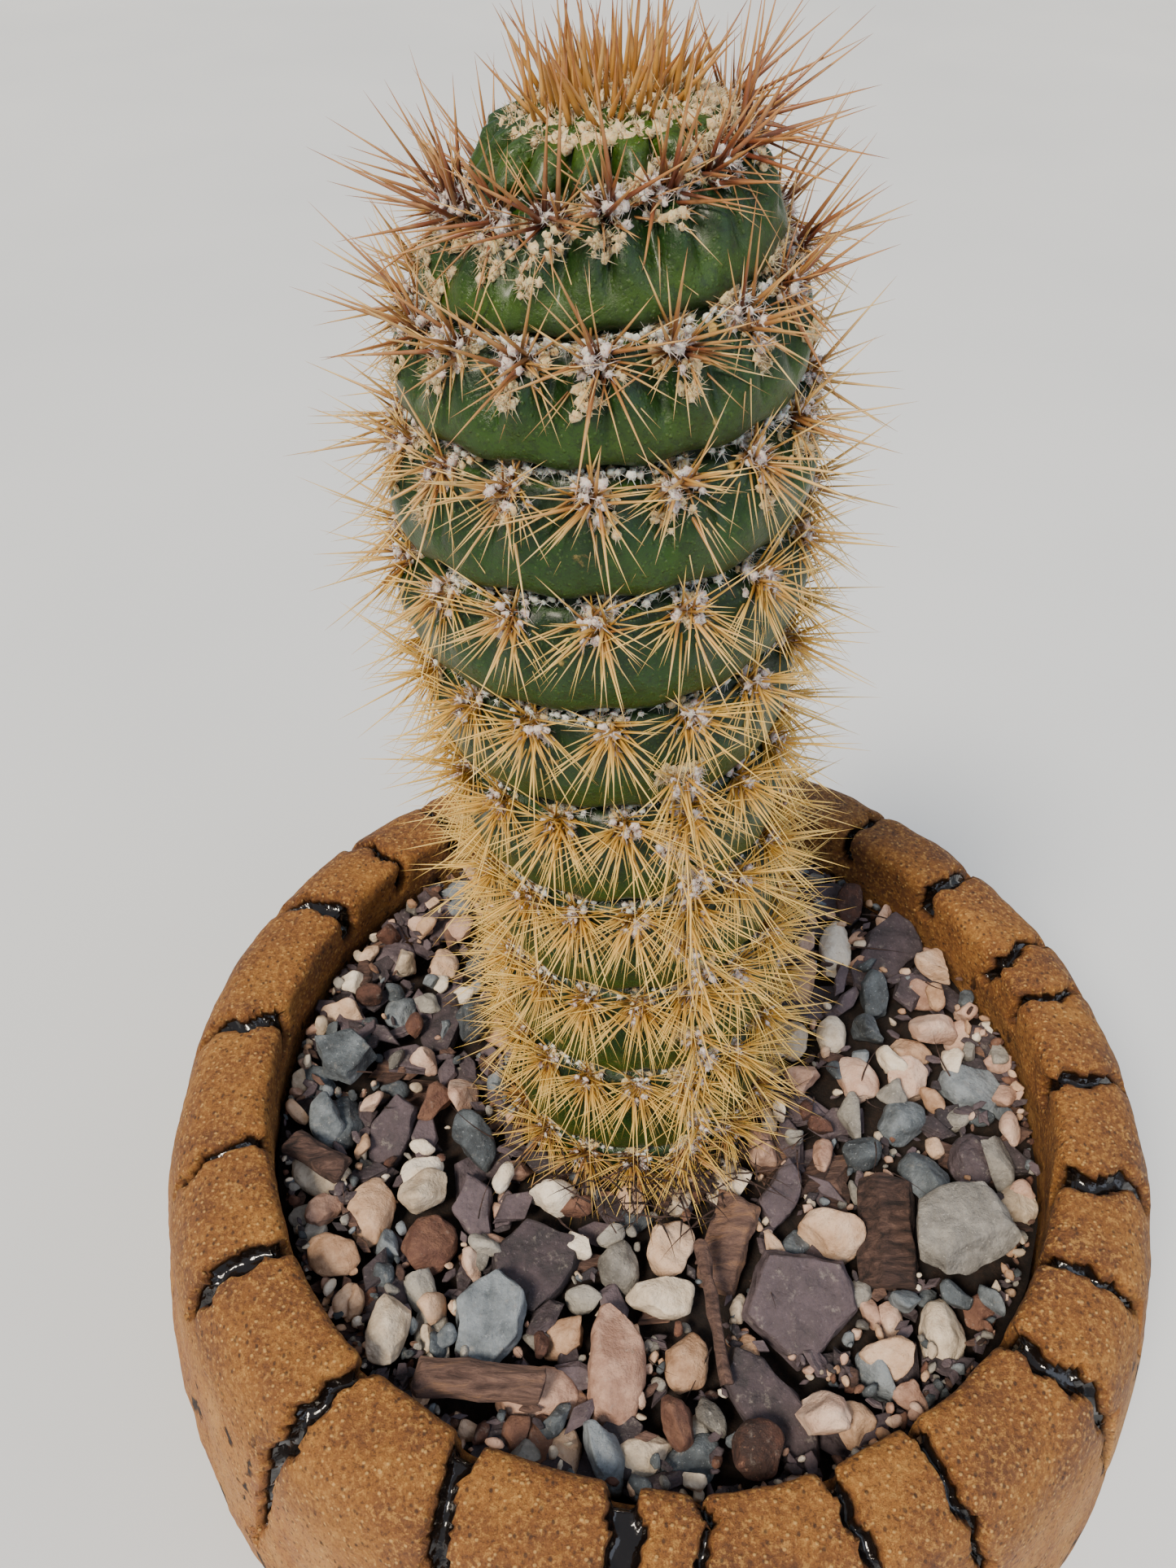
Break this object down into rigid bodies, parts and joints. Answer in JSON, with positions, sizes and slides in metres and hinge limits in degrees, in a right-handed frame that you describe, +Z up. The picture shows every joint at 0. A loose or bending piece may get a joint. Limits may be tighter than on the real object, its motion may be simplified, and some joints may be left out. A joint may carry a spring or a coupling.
{
  "type": "potted cactus cutting",
  "caption": "Upright spiral-ribbed cactus cutting rooted in a thick cracked stoneware bowl pot, top-dressed with slate, pebbles and bark; stands on its flat foot",
  "frame": {"origin": "middle of the underside of the pot's foot", "axes": "+Z up along the stem, the plant's viewed front faces -Y, +X to its right"},
  "size_m": [0.206, 0.206, 0.2858],
  "materials": {
    "stoneware": "rough, unglazed with a dark glassy glaze only in the cracks",
    "potting_mix": "crumbly, damp",
    "grit": "matt",
    "cactus_flesh": "waxy, semi-gloss",
    "slate": "matt, split",
    "bluestone": "matt, worn",
    "pink_stone": "matt, speckled",
    "cream_stone": "matt, worn",
    "tan_stone": "matt, worn",
    "grey_stone": "matt, pitted",
    "rust_stone": "matt, rough",
    "bark": "fibrous, weathered"
  },
  "bodies": {
    "root": {"bark_bark_01": "bark", "bark_bark_02": "bark", "bark_bark_03": "bark", "bark_bark_04": "bark", "bark_bark_05": "bark", "chunk_bluestone_05": "bluestone", "chunk_bluestone_06": "bluestone", "chunk_bluestone_07": "bluestone", "chunk_bluestone_09": "bluestone", "chunk_bluestone_10": "bluestone", "chunk_bluestone_11": "bluestone", "chunk_bluestone_13": "bluestone", "chunk_grey_01": "grey_stone", "chunk_rust_02": "rust_stone", "chunk_rust_03": "rust_stone", "chunk_slate_04": "slate", "chunk_slate_08": "slate", "chunk_slate_12": "slate", "gravel_bed": "grit", "pebble_bluestone_15": "bluestone", "pebble_cream_07": "cream_stone", "pebble_cream_09": "cream_stone", "pebble_cream_11": "cream_stone", "pebble_cream_13": "cream_stone", "pebble_cream_18": "cream_stone", "pebble_cream_19": "cream_stone", "pebble_cream_22": "cream_stone", "pebble_cream_24": "cream_stone", "pebble_grey_03": "grey_stone", "pebble_grey_08": "grey_stone", "pebble_grey_14": "grey_stone", "pebble_pink_01": "pink_stone", "pebble_pink_04": "pink_stone", "pebble_pink_05": "pink_stone", "pebble_pink_17": "pink_stone", "pebble_pink_21": "pink_stone", "pebble_tan_02": "tan_stone", "pebble_tan_06": "tan_stone", "pebble_tan_10": "tan_stone", "pebble_tan_12": "tan_stone", "pebble_tan_16": "tan_stone", "pebble_tan_20": "tan_stone", "pebble_tan_23": "tan_stone", "pot": "stoneware", "potting_mix": "potting_mix", "slate_bluestone_02": "bluestone", "slate_bluestone_07": "bluestone", "slate_slate_01": "slate", "slate_slate_03": "slate", "slate_slate_04": "slate", "slate_slate_05": "slate", "slate_slate_06": "slate", "slate_slate_08": "slate", "slate_slate_09": "slate", "slate_slate_10": "slate", "slate_slate_11": "slate", "slate_slate_12": "slate", "slate_slate_13": "slate", "slate_slate_14": "slate", "stem": "cactus_flesh"}
  },
  "joints": []
}
